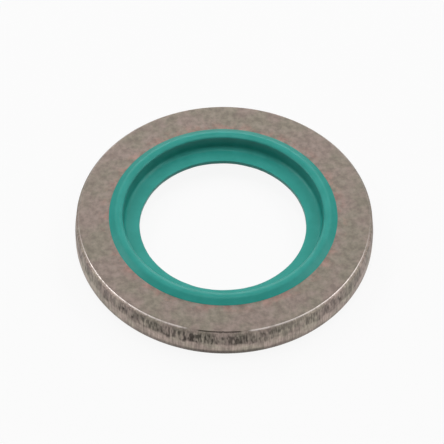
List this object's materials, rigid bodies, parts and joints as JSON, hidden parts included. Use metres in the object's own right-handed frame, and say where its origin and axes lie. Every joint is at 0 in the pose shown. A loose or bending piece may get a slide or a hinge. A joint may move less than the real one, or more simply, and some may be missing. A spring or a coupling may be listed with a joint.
{
  "type": "bonded sealing washer",
  "caption": "Flat sealing washer: a blanked steel ring with a green rubber seal bonded to its bore, with a raised lip on each side and a thin web that centres it on a thread.",
  "frame": {"origin": "on the washer's axis, at the height of the lower lip's crest, on which it rests", "axes": "+Z along the axis, towards the ring's burr side (the tumbled edge); X and Y are free because the washer is round"},
  "size_m": [0.0206, 0.0206, 0.0028],
  "materials": {
    "ring_steel": "matte",
    "seal_rubber": "satin"
  },
  "bodies": {
    "root": {"steel_ring": "ring_steel", "rubber_seal": "seal_rubber"}
  },
  "joints": []
}
